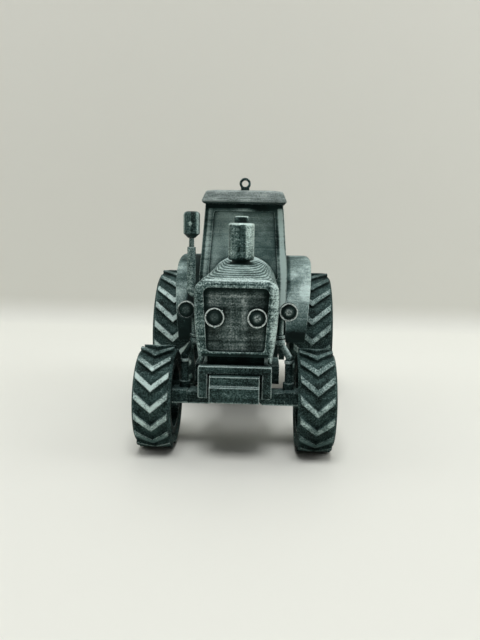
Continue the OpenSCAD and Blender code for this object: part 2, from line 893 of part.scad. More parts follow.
module cab_front() {
    color(grey)
        end_wall(cab_y) {
            front_view(screen_outline(0), cab_y + cab_wall + through, cab_wall + 2 * through);
            front_view(screen_outline(rebate), cab_y + cab_wall + through, pane_t + through);
        }
}

module windscreen() {
    color(pale)
        front_view(screen_outline(rebate - seat_gap), cab_y + cab_wall, pane_t - seat_gap);
}

module cab_rear() {
    y = cab_back_y - cab_wall;
    color(grey)
        end_wall(y) {
            front_view(screen_outline(0), y + cab_wall + through, cab_wall + 2 * through);
            front_view(screen_outline(rebate), y + pane_t, pane_t + through);
        }
}

module rear_window() {
    y = cab_back_y - cab_wall;
    color(pale)
        front_view(screen_outline(rebate - seat_gap), y + pane_t - seat_gap, pane_t - seat_gap);
}

// Two panes a side, a tall one in the door and a quarter light behind a post
function pane_y(i, d) = i == 0
    ? [cab_y + door_edge - d, cab_y + door_post[0] + d]
    : [cab_y + door_post[1] - d, cab_back_y - door_edge + d];
function pane_outline(i, d) =
    let (y = pane_y(i, d), z0 = (i == 0 ? door_z0 : quarter_z0) - d, z1 = screen_z1 + d)
    rounded([[y[0], z0], [y[1], z0], [y[1], z1], [y[0], z1]], four(pane_round), 4);

module side_strip(d0, d1) {
    front_view(side_band(d0, d1), cab_back_y - cab_wall - seat_gap, cab_len - 2 * (cab_wall + seat_gap));
}

module cab_side(s) {
    color(grey)
        on_side(s)
            difference() {
                side_strip(0, cab_wall);
                for (i = [0, 1]) {
                    side_view(pane_outline(i, 0), 0, cab_w);
                    intersection() {
                        side_strip(cab_wall - pane_t, cab_wall + through);
                        side_view(pane_outline(i, rebate), 0, cab_w);
                    }
                }
            }
}

module cab_left() cab_side(1);
module cab_right() cab_side(-1);

module side_windows() {
    color(pale)
        on_both()
            for (i = [0, 1])
                intersection() {
                    side_strip(cab_wall - pane_t + seat_gap, cab_wall);
                    side_view(pane_outline(i, rebate - seat_gap), 0, cab_w);
                }
}

// Floor plate with a closed box below each side, beside the gearbox
module cab_floor() {
    box_y1 = ry - axle_box[1] / 2 - loose_gap;
    color(black) {
        box([-cab_half, cab_half], [cab_y, cab_back_y], [under_floor, floor_z - seat_gap]);
        on_both()
            box([gearbox_w / 2 + loose_gap, cab_half], [cab_y, box_y1], [base_z, under_floor + seat_gap]);
    }
}

// Roof, lofted through rounded rectangles
function roof_ring(d, z) =
    let (x = cab_top_w / 2 + roof_side - d, y0 = cab_y - roof_front + d, y1 = cab_back_y + roof_back - d)
    [for (p = rounded([[x, y0], [x, y1], [-x, y1], [-x, y0]], four(roof_round), 5)) [p[0], p[1], z]];

module roof() {
    color(grey)
        loft([for (r = roof_rings) roof_ring(r[0], eaves_z + r[1] * roof_h)]);
}

module hanging_ring() {
    z0 = eaves_z + roof_h + seat_gap;
    r = ring_d / 2;
    zc = z0 + ring_foot_h / 2 + r;
    x = ring_foot_w / 2;
    y = ring_t / 2;
    color(grey)
        difference() {
            union() {
                translate([0, ring_y + y, zc])
                    rotate([90, 0, 0])
                        cylinder(h = ring_t, r = r);
                box([-x, x], [ring_y - y, ring_y + y], [z0, z0 + ring_foot_h]);
            }
            translate([0, ring_y + ring_t, zc])
                rotate([90, 0, 0])
                    cylinder(h = 2 * ring_t, r = ring_hole_d / 2);
        }
}

// A fender turned about the rear axle, its outer edge rolled in and narrowed to its front foot
function fender_profile() =
    let (r1 = fender_r + fender_t, c = [r1 - fender_roll, fender_x - fender_roll], edge = c[0] - fender_lip)
    concat([[fender_r, fender_x0], [r1, fender_x0]], arc(c, fender_roll, 0, 90, 6),
        [[edge, fender_x], [edge, fender_x - fender_t]], arc(c, fender_roll - fender_t, 90, 0, 4));

module fender(s) {
    span = fender_r + fender_t;
    slant = atan((fender_x - fender_foot_x) / span);
    color(grey)
        on_side(s)
            difference() {
                translate([0, ry, rz])
                    rotate([0, 90, 0])
                        rotate([0, 0, 270 - fender_arc[1]])
                            rotate_extrude(angle = fender_arc[1] - fender_arc[0])
                                polygon(fender_profile());
                translate([fender_foot_x, ry, rz])
                    rotate([0, slant, 0])
                        box([0, span], [-2 * span, 0], [-span, span * 2]);
            }
}

module fender_left() fender(1);
module fender_right() fender(-1);

module drawbar() {
    z1 = rz - axle_box[2] / 2 - seat_gap;
    z0 = z1 - drawbar_t;
    h = drawbar_half;
    eye_y = ry + drawbar_reach - h;
    color(black)
        difference() {
            union() {
                box([-h, h], [ry - drawbar_lap, eye_y], [z0, z1]);
                translate([0, eye_y, z0])
                    cylinder(h = drawbar_t, r = h);
            }
            translate([0, eye_y, z0 - through])
                cylinder(h = drawbar_t + 2 * through, r = drawbar_hole_d / 2);
        }
}

// Lower arms and rockers of the hitch, with a rod between them on each side
module lift_arms() {
    y0 = ry + axle_box[1] / 2 + lift_r / 2;
    root = [lift_x, y0, lift_z0];
    ball = [lift_x, y0 + lift_reach, lift_ball_z];
    top = [lift_x, y0 + rocker_reach, rocker_z1];
    color(black)
        on_both() {
            rod(root, ball, lift_r);
            translate(ball)
                sphere(r = lift_ball_r);
            rod(root + (ball - root) * rod_share, top, rod_r);
            rod([lift_x, y0, rocker_z0], top, lift_r);
            translate(top)
                sphere(r = rocker_ball_r);
        }
}

front_axle();
knuckle_left();
knuckle_right();
knuckle_arms();
front_bolster();
ballast_carrier();
ballast_block();
radiator();
engine_block();
gearbox();
rear_axle();
hood();
grille();
grille_lamps();
lamp_posts();
side_lamps();
muffler();
stack_pipe();
stack_head();
cab_floor();
cab_front();
cab_left();
cab_right();
cab_rear();
windscreen();
side_windows();
rear_window();
roof();
hanging_ring();
fender_left();
fender_right();
drawbar();
lift_arms();
hub_caps();
front_tyre_left();
front_tyre_right();
rear_tyre_left();
rear_tyre_right();
front_rim_left();
front_rim_right();
rear_rim_left();
rear_rim_right();
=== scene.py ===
"""Looks of a small printed model tractor: near-black plastic with silver paint dry-brushed over its edges."""

import math

import bmesh
import bpy
from mathutils import Matrix, Vector


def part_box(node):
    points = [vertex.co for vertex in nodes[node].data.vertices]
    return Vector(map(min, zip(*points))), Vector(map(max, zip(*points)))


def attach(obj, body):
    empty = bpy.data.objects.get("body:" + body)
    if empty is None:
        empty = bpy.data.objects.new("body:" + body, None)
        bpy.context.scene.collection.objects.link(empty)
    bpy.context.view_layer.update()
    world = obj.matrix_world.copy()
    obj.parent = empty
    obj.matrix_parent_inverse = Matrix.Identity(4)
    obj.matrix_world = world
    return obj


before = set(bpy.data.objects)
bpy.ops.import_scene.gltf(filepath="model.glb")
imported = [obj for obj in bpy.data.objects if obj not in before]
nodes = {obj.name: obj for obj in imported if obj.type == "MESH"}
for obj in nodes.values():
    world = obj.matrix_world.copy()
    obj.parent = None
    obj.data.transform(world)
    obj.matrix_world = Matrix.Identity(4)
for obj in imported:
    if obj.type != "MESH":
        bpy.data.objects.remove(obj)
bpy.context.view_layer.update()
scene = bpy.context.scene
scene.view_settings.view_transform = "Standard"

MM = 0.001
EMPTY_AREA = 1e-7 * MM ** 2


def middle(name):
    """The middle of a node's box."""
    low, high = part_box(name)
    return (Vector(low) + Vector(high)) / 2


def half_height(name):
    """Half the height of a node's box, which is the radius of a tyre or a lamp."""
    low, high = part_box(name)
    return (high[2] - low[2]) / 2


FRONT_AXLE = middle("front_tyre_left")
REAR_AXLE = middle("rear_tyre_left")
FRONT_TIP_R = half_height("front_tyre_left")
REAR_TIP_R = half_height("rear_tyre_left")

# The cab's sides lean in from the waist to the eaves
CAB_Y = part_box("cab_front")[0][1]
CAB_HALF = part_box("cab_front")[1][0]
WAIST_Z = 42 * MM
LEAN_TOP_Z = 63.4 * MM
LEAN_TOP_HALF = 11.8 * MM
CAB_LEAN = (CAB_HALF - LEAN_TOP_HALF) / (LEAN_TOP_Z - WAIST_Z)


def drop_empty_faces():
    """Takes out the faces without area that the solids' meshes have at the poles of spheres."""
    for node in nodes.values():
        form = bmesh.new()
        form.from_mesh(node.data)
        empty = [face for face in form.faces if face.calc_area() < EMPTY_AREA]
        if empty:
            bmesh.ops.delete(form, geom=empty, context="FACES")
            form.to_mesh(node.data)
        form.free()


drop_empty_faces()

# Camera, fitted to the photo's mirrored pairs, measured from the front axle's middle on the ground
CAMERA_PLACE = (6.18 * MM, -153.9 * MM, 57.43 * MM)
CAMERA_YAW = -0.0358
CAMERA_PITCH = 0.155
CAMERA_ROLL = 0.0188
FOCAL_PX = 616.2
IMAGE_LONG_SIDE = 640
SENSOR = 36.0
CLIP_START = 5 * MM
CLIP_END = 20.0


def make_camera():
    """The photo's camera, from its place and its three turns."""
    forward = Vector((math.sin(CAMERA_YAW) * math.cos(CAMERA_PITCH),
                      math.cos(CAMERA_YAW) * math.cos(CAMERA_PITCH), -math.sin(CAMERA_PITCH)))
    level = Vector((math.cos(CAMERA_YAW), -math.sin(CAMERA_YAW), 0))
    upright = level.cross(forward)
    right = level * math.cos(CAMERA_ROLL) + upright * math.sin(CAMERA_ROLL)
    up = upright * math.cos(CAMERA_ROLL) - level * math.sin(CAMERA_ROLL)
    data = bpy.data.cameras.new("camera")
    data.sensor_width = SENSOR
    data.lens = SENSOR * FOCAL_PX / IMAGE_LONG_SIDE
    data.clip_start = CLIP_START
    data.clip_end = CLIP_END
    camera = bpy.data.objects.new("camera", data)
    place = Vector(CAMERA_PLACE) + Vector((0, FRONT_AXLE.y, 0))
    camera.matrix_world = Matrix((
        (right.x, up.x, -forward.x, place.x),
        (right.y, up.y, -forward.y, place.y),
        (right.z, up.z, -forward.z, place.z),
        (0, 0, 0, 1)))
    scene.collection.objects.link(camera)
    scene.camera = camera


# Node helpers
class Nodes:
    """A short way to write the nodes of a material or a world."""

    def __init__(self, owner):
        owner.use_nodes = True
        self.tree = owner.node_tree
        self.tree.nodes.clear()

    def add(self, kind, inputs=None, **settings):
        """A new node with its settings, and then its inputs."""
        node = self.tree.nodes.new(kind)
        for key, value in settings.items():
            setattr(node, key, value)
        for key, value in (inputs or {}).items():
            self.put(node.inputs[key], value)
        return node

    def put(self, socket, value):
        """Links an output to a socket, or sets the socket to a plain value."""
        if isinstance(value, bpy.types.NodeSocket):
            self.tree.links.new(value, socket)
        else:
            socket.default_value = value

    def math(self, operation, a, b=0.0, clamp=False):
        """One operation on one or two values."""
        return self.add("ShaderNodeMath", {0: a, 1: b}, operation=operation, use_clamp=clamp).outputs[0]

    def chain(self, operation, values):
        """The same operation on a row of values, from the first to the last."""
        result = values[0]
        for value in values[1:]:
            result = self.math(operation, result, value)
        return result

    def total(self, *terms):
        """All terms added up."""
        return self.chain("ADD", terms)

    def product(self, *factors):
        """All factors multiplied."""
        return self.chain("MULTIPLY", factors)

    def split(self, vector):
        """The X, Y and Z of a vector."""
        return dict(zip("XYZ", self.add("ShaderNodeSeparateXYZ", {"Vector": vector}).outputs))

    def stretch(self, vector, scale):
        """A vector with each axis times its own scale."""
        return self.add("ShaderNodeVectorMath", {0: vector, 1: scale}, operation="MULTIPLY").outputs["Vector"]

    def swing(self, value, gain):
        """A noise value about its middle, times gain."""
        return self.product(self.math("SUBTRACT", value, 0.5), gain)

    def waves(self, value, pitch, shift):
        """Sine lines across value, a pitch apart."""
        turns = self.total(self.math("DIVIDE", value, pitch), shift)
        return self.math("SINE", self.product(turns, 2 * math.pi))

    def ramp(self, value, low, high, to_low=0.0, to_high=1.0):
        """A smooth step from to_low, where value is low, to to_high, where it is high."""
        inputs = {"Value": value, "From Min": low, "From Max": high, "To Min": to_low, "To Max": to_high}
        return self.add("ShaderNodeMapRange", inputs, interpolation_type="SMOOTHSTEP").outputs["Result"]

    def noise(self, vector, scale, detail=2.0, roughness=0.55):
        """Noise in space."""
        inputs = {"Vector": vector, "Scale": scale, "Detail": detail, "Roughness": roughness}
        return self.add("ShaderNodeTexNoise", inputs).outputs["Fac"]

    def noise_line(self, value, scale, detail=2.0):
        """Noise along one measure."""
        inputs = {"W": value, "Scale": scale, "Detail": detail}
        return self.add("ShaderNodeTexNoise", inputs, noise_dimensions="1D").outputs["Fac"]

    def mix(self, share, a, b):
        """Colour a turned into colour b by a share."""
        inputs = {"Factor": share, "A": a, "B": b}
        return self.add("ShaderNodeMix", inputs, data_type="RGBA").outputs["Result"]


def linear(r, g, b):
    """An 8-bit sRGB colour as linear RGBA."""
    def one(v):
        v /= 255
        return v / 12.92 if v <= 0.04045 else ((v + 0.055) / 1.055) ** 2.4
    return (one(r), one(g), one(b), 1.0)


def blend(a, b, share):
    """A colour between a and b."""
    return tuple(x + (y - x) * share for x, y in zip(a, b))


# Colours and measures of the print and its paint
PRIMER = linear(4, 19, 17)
PRIMER_WORN = linear(18, 38, 36)
SILVER = linear(202, 224, 220)
SILVER_DULL = linear(106, 137, 134)
GREY = linear(208, 219, 216)
GREY_DULL = linear(111, 129, 126)
LAYER_PITCH = 0.28 * MM
CONTOUR_PITCH = 0.3 * MM
EDGE_RADIUS = 0.36 * MM
# How far recesses keep silver off, partly as the brush misses them and partly as painted shade
RECESS_REACH = 3.0 * MM
MASK_SAMPLES = 6
SHEEN = 0.12
PRIMER_ROUGHER = 0.1
SILVER_SMOOTHER = 0.12
BUMP_HEIGHT = 0.06 * MM
BUMP_STRENGTH = 0.6
LINE_BUMP = 0.35
SPECK_BUMP = 1.4

# Noises: how fine, how stretched and how strong they are
CLOUD_SCALE = 190
WANDER_SCALE = 420
SPECK_SCALE = 2600
SPECK_ROUGHNESS = 0.7
SMEAR_SCALE = 300
SMEAR_DETAIL = 3.0
SMEAR_STRETCH = (1.0, 1.0, 8.0)
STREAK_SCALE = 900
STREAK_STRETCH = (1.0, 1.0, 0.06)
UNEVEN_SCALE = 900
RIM_SCALE = 1500
RIM_DETAIL = 1.0
LINE_WANDER = 0.5
CONTOUR_WANDER = 0.25
SMEAR_GAIN = 4
LINE_GAIN = 0.7
WORN_CLOUD = 0.6

# Ramps: start, end and, where they are not 0 and 1, the values there
CORNER_TURN = (0.01, 0.16)
EDGE_FACES_UP = (-0.5, 0.1, 0.35, 1.0)
LEVEL = (0.05, 0.95)
SLOPING = (0.35, 0.8)
UNDERSIDE = (-0.9, -0.15, 0.2, 1.0)
OPEN = (0.25, 0.95)
OPEN_EDGE = (0.35, 0.75)
WORN_EDGE = (0.55, 1.0, 0.3, 1.0)
ROUND_FACE = (0.97, 0.8)
PRIMER_CLOUD = (0.3, 0.7)
BRIGHT_PAINT = (0.3, 1.0)
METAL_PAINT = (0.0, 0.6)

# Lug tops: depths below the tips, heights as shares of the radius, and ramps
LUG_SIDE = 0.35 * MM
LUG_FACE = 0.1 * MM
LUG_FADE = (0.65, 0.95)
LUG_HIGH_SHARE = 0.35
LUG_EDGE = (0.0, 0.8, 1.1, 0.1)
LUG_UNEVEN = (0.35, 0.65, 0.8, 1.2)

# Lamps: the rim's width, shares of it or of the radius, and ramps
RIM_WIDTH = 0.36 * MM
RIM_WOBBLE = 0.9
RIM_SOFT_START = 0.6
RIM_FACES_FRONT = (-0.3, -0.7)
RIM_SPECK = (0.35, 0.6, 0.6, 1.8)
RIM_LOW_PART = 0.7
LENS_TOUCH = (0.56, 0.26)
LENS_SPECK = (0.35, 0.65, 0.2, 0.65)
LENS_SIDES = (0.55, 1.25)
ACROSS_MIDDLE = (-MM, MM)


class Print(Nodes):
    """Printed plastic, with the measures, noises and masks that the paint on it follows.

    The measures are the places X, Y and Z, the distance from the middle as side, the same without the
    cab's lean as pillar, and how far a face looks to the left as facing_left.
    """

    def __init__(self, name, edge_radius, reach):
        self.material = bpy.data.materials.new(name)
        super().__init__(self.material)
        self.place = self.add("ShaderNodeTexCoord").outputs["Object"]
        self.normal = self.add("ShaderNodeNewGeometry").outputs["Normal"]
        self.facing = self.split(self.normal)
        self.measures = self.split(self.place)
        self.measures["side"] = self.math("ABSOLUTE", self.measures["X"])
        above_waist = self.math("MAXIMUM", self.math("SUBTRACT", self.measures["Z"], WAIST_Z), 0.0)
        self.measures["pillar"] = self.total(self.measures["side"], self.product(above_waist, CAB_LEAN))
        self.measures["facing_left"] = self.facing["X"]
        self.find_edges(edge_radius)
        # Ambient occlusion: less silver in recesses, partly as the brush misses them and partly as painted
        # shade
        occlusion = self.add("ShaderNodeAmbientOcclusion", {"Distance": reach}, samples=MASK_SAMPLES)
        self.openness = occlusion.outputs["AO"]
        self.cloud = self.noise(self.place, CLOUD_SCALE)
        self.wander = self.noise(self.place, WANDER_SCALE)
        self.speck = self.noise(self.place, SPECK_SCALE, roughness=SPECK_ROUGHNESS)
        self.lines = self.waves(self.measures["Z"], LAYER_PITCH, self.product(self.wander, LINE_WANDER))

    def find_edges(self, radius):
        """Masks of all sharp edges, and of those that a brush from above meets."""
        bevel = self.add("ShaderNodeBevel", {"Radius": radius}, samples=MASK_SAMPLES)
        self.rounded = bevel.outputs["Normal"]
        normals = {0: self.rounded, 1: self.normal}
        likeness = self.add("ShaderNodeVectorMath", normals, operation="DOT_PRODUCT")
        turn = self.math("SUBTRACT", 1.0, likeness.outputs["Value"])
        self.corners = self.ramp(turn, *CORNER_TURN)
        self.edges = self.product(self.corners, self.ramp(self.split(self.rounded)["Z"], *EDGE_FACES_UP))

    def away(self, **place):
        """How far a point is from a place that is given in two measures."""
        a, b = (self.math("SUBTRACT", self.measures[name], value) for name, value in place.items())
        return self.math("SQRT", self.total(self.product(a, a), self.product(b, b)))

    def brushed(self, cover, up, layers, grain, cloudy):
        """Silver as the brush leaves it, uneven and with more of it on level faces."""
        smear = self.noise(self.stretch(self.place, SMEAR_STRETCH), SMEAR_SCALE, SMEAR_DETAIL)
        uneven = self.noise_line(self.measures["Z"], UNEVEN_SCALE)
        return self.total(
            cover,
            self.product(self.ramp(self.facing["Z"], *LEVEL), up),
            self.swing(self.cloud, cloudy),
            self.swing(smear, layers * SMEAR_GAIN),
            self.swing(uneven, layers * SMEAR_GAIN),
            self.product(self.lines, layers * LINE_GAIN),
            self.swing(self.speck, grain))

    def contour_lines(self, share):
        """Layer lines on sloping faces."""
        steps = self.waves(self.measures["Z"], CONTOUR_PITCH, self.product(self.wander, CONTOUR_WANDER))
        return self.product(steps, self.product(self.ramp(self.facing["Z"], *SLOPING), share))

    def upright_streaks(self, share):
        """Upright brush marks."""
        return self.swing(self.noise(self.stretch(self.place, STREAK_STRETCH), STREAK_SCALE), share)

    def patch(self, *ranges, share):
        """More or less silver where all ranges have been passed."""
        masks = [self.ramp(self.measures[name], start, end) for name, start, end in ranges]
        return self.product(share, *masks)

    def spot(self, x, z, radius, share):
        """A round touch of silver, seen from the front."""
        return self.ramp(self.away(X=x, Z=z), radius, radius / 2, 0.0, share)

    def round_edge(self, front, back, share):
        """Silver on rounded faces, none at back and all of it from front on."""
        flatness = self.chain("MAXIMUM", [self.math("ABSOLUTE", self.facing[axis]) for axis in "XYZ"])
        depth = self.ramp(self.measures["Y"], back, front, 0.0, share)
        return self.product(self.ramp(flatness, *ROUND_FACE), depth)

    def lug_tops(self, axle, tip_radius, share):
        """Silver on the tops of a tyre's lugs, off their edges and less of it high on the wheel."""
        fade_start, fade_end = (axle.z + tip_radius * height for height in LUG_FADE)
        return self.product(
            self.ramp(self.away(Y=axle.y, Z=axle.z), tip_radius - LUG_SIDE, tip_radius - LUG_FACE),
            self.ramp(self.measures["Z"], fade_start, fade_end, share, share * LUG_HIGH_SHARE),
            self.ramp(self.corners, *LUG_EDGE),
            self.ramp(self.wander, *LUG_UNEVEN))

    def lamp_face(self, lamp, radius, right_low):
        """Silver on a lamp's rim and a painted highlight on its lens. right_low is the share of rim silver on
        the low part of the right rim, where less is painted shade.
        """
        wobble = self.swing(self.noise(self.place, RIM_SCALE, RIM_DETAIL), RIM_WIDTH * RIM_WOBBLE)
        away = self.total(self.away(side=abs(lamp.x), Z=lamp.z), wobble)
        above = self.math("SUBTRACT", self.measures["Z"], lamp.z)
        on_left = self.ramp(self.measures["X"], *ACROSS_MIDDLE)
        high_enough = self.ramp(above, 0.0, radius * RIM_LOW_PART, right_low, 1.0)
        ring = self.product(
            self.ramp(away, radius - RIM_WIDTH, radius - RIM_WIDTH * RIM_SOFT_START),
            self.ramp(self.facing["Y"], *RIM_FACES_FRONT),
            self.ramp(self.speck, *RIM_SPECK),
            self.math("MAXIMUM", on_left, high_enough))
        # Painted highlight on the lens, brighter on the left
        lens = self.product(
            self.ramp(away, *(radius * part for part in LENS_TOUCH)),
            self.ramp(self.speck, *LENS_SPECK),
            self.ramp(self.measures["X"], *ACROSS_MIDDLE, *LENS_SIDES))
        return self.total(ring, lens)

    def rubbed_edges(self, share):
        """Silver that the brush leaves on open edges, broken by wear."""
        wear = self.total(self.speck, self.product(self.cloud, WORN_CLOUD))
        return self.product(
            self.edges, share, self.ramp(self.openness, *OPEN_EDGE), self.ramp(wear, *WORN_EDGE))

    def shade(self, silver, grey, roughness, metal):
        """Colour, gloss and relief from the share of silver."""
        under = self.mix(self.ramp(self.cloud, *PRIMER_CLOUD), PRIMER, PRIMER_WORN)
        dull, bright = blend(SILVER_DULL, GREY_DULL, grey), blend(SILVER, GREY, grey)
        paint = self.mix(self.ramp(silver, *BRIGHT_PAINT), dull, bright)
        height = self.total(self.product(self.lines, LINE_BUMP), self.product(self.speck, SPECK_BUMP))
        rough, smooth = roughness + PRIMER_ROUGHER, roughness - SILVER_SMOOTHER
        bump = self.add("ShaderNodeBump", {
            "Strength": BUMP_STRENGTH, "Distance": BUMP_HEIGHT, "Height": height, "Normal": self.rounded})
        shader = self.add("ShaderNodeBsdfPrincipled", {
            "Base Color": self.mix(silver, under, paint),
            "Normal": bump.outputs["Normal"],
            "Specular IOR Level": SHEEN,
            "Roughness": self.ramp(silver, 0.0, 1.0, rough, smooth)})
        if metal:
            self.put(shader.inputs["Metallic"], self.ramp(silver, *METAL_PAINT, 0.0, metal))
        self.add("ShaderNodeOutputMaterial", {"Surface": shader.outputs["BSDF"]})


def printed(name, cover, up=0.2, edge=0.75, edge_radius=EDGE_RADIUS, layers=0.12, contour=0.0, grain=0.9,
            cloudy=0.7, streaks=0.0, roughness=0.6, metal=0.0, reach=RECESS_REACH, grey=0.0,
            patches=(), spots=(), bead=None, lugs=None, lamp=None):
    """A material of dark primer under dry-brushed silver.

    cover is the share of silver on an upright face, up what a level face has more and edge what edges have.
    layers, grain and cloudy make it uneven, and reach is how far a recess keeps silver off: partly the brush
    missing it, partly painted shade. Each of patches is one or more ranges of (measure, start, end) and then
    a share. spots, bead, lugs and lamp hold what Print's spot, round_edge, lug_tops and lamp_face ask for.
    """
    p = Print(name, edge_radius, reach)
    terms = [p.brushed(cover, up, layers, grain, cloudy)]
    if contour:
        terms.append(p.contour_lines(contour))
    if streaks:
        terms.append(p.upright_streaks(streaks))
    terms += [p.patch(*ranges, share=share) for *ranges, share in patches]
    terms += [p.spot(*spot) for spot in spots]
    if bead:
        terms.append(p.round_edge(*bead))
    if lugs:
        terms.append(p.lug_tops(*lugs))
    # Recesses get less silver, partly as the brush misses them and partly as painted shade; undersides get
    # less too
    amount = p.product(p.total(*terms), p.ramp(p.openness, *OPEN), p.ramp(p.facing["Z"], *UNDERSIDE))
    rubbed = p.rubbed_edges(edge)
    if lamp:
        rubbed = p.total(rubbed, p.lamp_face(*lamp))
    silver = p.math("ADD", p.math("MAXIMUM", amount, 0.0), rubbed, clamp=True)
    p.shade(silver, grey, roughness, metal)
    return p.material


# Stage
WALL_BEHIND_AXLE = 196 * MM
COVE_RADIUS = 14 * MM
COVE_STEPS = 12
STAGE_HALF = 1.6
FLOOR_TONE = linear(230, 231, 224)
WALL_TONE = linear(222, 222, 214)
WALL_TONE_HEIGHT = COVE_RADIUS * 0.8
STAGE_ROUGHNESS = 0.7
STAGE_SHEEN = 0.2


def backdrop_mesh():
    """A floor that bends up into a wall."""
    wall_y = FRONT_AXLE.y + WALL_BEHIND_AXLE
    profile = [(-STAGE_HALF, 0.0)]
    for i in range(COVE_STEPS + 1):
        a = math.pi / 2 * i / COVE_STEPS
        profile.append((wall_y - COVE_RADIUS + COVE_RADIUS * math.sin(a), COVE_RADIUS * (1 - math.cos(a))))
    profile.append((wall_y, STAGE_HALF))
    form = bmesh.new()
    rows = [[form.verts.new((x, y, z)) for x in (-STAGE_HALF, STAGE_HALF)] for y, z in profile]
    for low, high in zip(rows, rows[1:]):
        form.faces.new((low[0], low[1], high[1], high[0]))
    mesh = bpy.data.meshes.new("backdrop")
    form.to_mesh(mesh)
    form.free()
    for face in mesh.polygons:
        face.use_smooth = True
    return mesh


def backdrop_look():
    """Pale paint, clear from behind. Above the cove it casts no shadow."""
    material = bpy.data.materials.new("pale_backdrop")
    n = Nodes(material)
    height = n.split(n.add("ShaderNodeTexCoord").outputs["Object"])["Z"]
    tone = n.mix(n.ramp(height, 0.0, WALL_TONE_HEIGHT), FLOOR_TONE, WALL_TONE)
    paint = n.add("ShaderNodeBsdfPrincipled", {
        "Base Color": tone, "Roughness": STAGE_ROUGHNESS, "Specular IOR Level": STAGE_SHEEN})
    clear = n.add("ShaderNodeBsdfTransparent")
    behind = n.add("ShaderNodeNewGeometry").outputs["Backfacing"]
    shadow = n.add("ShaderNodeLightPath").outputs["Is Shadow Ray"]
    open_wall = n.product(shadow, n.math("GREATER_THAN", height, COVE_RADIUS))
    seen = n.add("ShaderNodeMixShader", {
        "Fac": n.math("MAXIMUM", behind, open_wall), 1: paint.outputs["BSDF"], 2: clear.outputs["BSDF"]})
    n.add("ShaderNodeOutputMaterial", {"Surface": seen.outputs["Shader"]})
    return material


def make_stage():
    """The backdrop behind and below the model."""
    mesh = backdrop_mesh()
    mesh.materials.append(backdrop_look())
    backdrop = bpy.data.objects.new("backdrop", mesh)
    scene.collection.objects.link(backdrop)


# Lights: place in metres, size and power, with left and right as the camera sees them
LIGHT_TARGET = (0, 0, 0.03)
LIGHTS = {
    "top_softbox": ((0.0, -0.42, 1.1), 0.48, 7.2),
    "front_softbox": ((0.1, -0.5, 0.55), 0.4, 0.4),
    "left_softbox": ((-0.36, -0.02, 0.3), 0.24, 0.26),
    "right_softbox": ((0.36, -0.02, 0.3), 0.24, 0.43),
    "back_softbox": ((0.0, 0.55, 0.62), 0.5, 1.2),
}
ROOM_TONE = linear(199, 200, 191)
ROOM_LIGHT = (1, 1, 0.99, 1)
ROOM_STRENGTH = 0.06


def area_light(name, place, size, power):
    """A square light turned to the target."""
    data = bpy.data.lights.new(name, "AREA")
    data.shape = "SQUARE"
    data.size = size
    data.energy = power
    light = bpy.data.objects.new(name, data)
    light.location = place
    light.rotation_euler = (Vector(LIGHT_TARGET) - Vector(place)).to_track_quat("-Z", "Y").to_euler()
    scene.collection.objects.link(light)


def make_world():
    """Weak light from all round, which camera, glossy and transmitted rays see as pale as the backdrop."""
    world = bpy.data.worlds.new("room")
    n = Nodes(world)
    rays = n.add("ShaderNodeLightPath").outputs
    bounced = n.math("MAXIMUM", rays["Is Glossy Ray"], rays["Is Transmission Ray"])
    shown = n.math("MAXIMUM", rays["Is Camera Ray"], bounced)
    light = n.add("ShaderNodeBackground", {"Color": ROOM_LIGHT, "Strength": ROOM_STRENGTH})
    room = n.add("ShaderNodeBackground", {"Color": ROOM_TONE})
    seen = n.add("ShaderNodeMixShader", {
        "Fac": shown, 1: light.outputs["Background"], 2: room.outputs["Background"]})
    n.add("ShaderNodeOutputWorld", {"Surface": seen.outputs["Shader"]})
    return world


make_camera()
make_stage()
for light_name, light_values in LIGHTS.items():
    area_light(light_name, *light_values)
scene.world = make_world()

# Looks of the nodes, with left and right as on the tractor
TO_LEFT = ("X", 0.0, 5 * MM)
TO_RIGHT = ("X", 0.0, -5 * MM)
# How far recesses keep silver off, partly as painted shade; the cab's reaches under the roof's overhang
CAB_REACH = 4 * MM
PANE_REACH = 1.6 * MM
TYRE_REACH = 1.8 * MM
TYRE_EDGE = 0.5 * MM
BALLAST_EDGE = 0.55 * MM
CARRIER_EDGE = 0.6 * MM
LUG_SHARES = {"left": 0.42, "right": 0.68}
# Shares of rim silver low on each lamp's right rim; less is painted shade
RIGHT_LOW_SHARES = {"grille_lamps": 1.0, "side_lamps": 0.05}
MUFFLER_CAP = 1.9 * MM


def span(measure, place, start, end):
    """A range of a measure, from start to end in millimetres from a place."""
    return (measure, place + start * MM, place + end * MM)


# Painted shade under the roof's overhang, along the top of the cab's walls
EAVES_SHADE = span("Z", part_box("cab_front")[1][2], -1.6, -0.9)
AXLE_EDGE = span("Z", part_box("front_axle")[0][2], 0.5, 0.2)


def fender_look():
    """Bright sheets with painted shade at the foot, along the inner edge and on the right, most at the right
    one's inner front, and darker at the crown. The left has a bright touch.
    """
    low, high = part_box("fender_left")
    inner, outer, foot, crown = low[0], high[0], low[2], high[2]
    lower_part = span("Z", foot, 10.64, 3.64)
    toe = span("Z", foot, 3.84, 2.44)
    upper_part = span("Z", crown, -11.9, -7.9)
    top = span("Z", crown, -3.4, -0.7)
    inner_edge = span("side", inner, 1.8, 0.8)
    right_half = span("X", 0, 3, -3)
    right_inner_side = span("X", -inner, -4.4, -2.8)
    right_lower_part = span("Z", crown, -12.9, -18.9)
    arch_front = span("Y", REAR_AXLE.y, -0.55, -8.55)
    bright_touch = (outer - 2.1 * MM, crown - 10.6 * MM, 3.4 * MM, 0.3)
    return printed(
        "dry_brushed_fenders_and_painted_shade", 0.62, up=0.12, layers=0.06, cloudy=0.95, spots=[bright_touch],
        # Painted shade: the patches at the foot and toe, on the right and along the inner edges; the crown is
        # only darker
        patches=[(lower_part, -0.3), (toe, -0.4), (top, -0.26), (right_half, -0.14),
                 (inner_edge, upper_part, -0.4), (right_inner_side, TO_RIGHT, arch_front, -0.9),
                 (TO_RIGHT, right_lower_part, -0.3)])


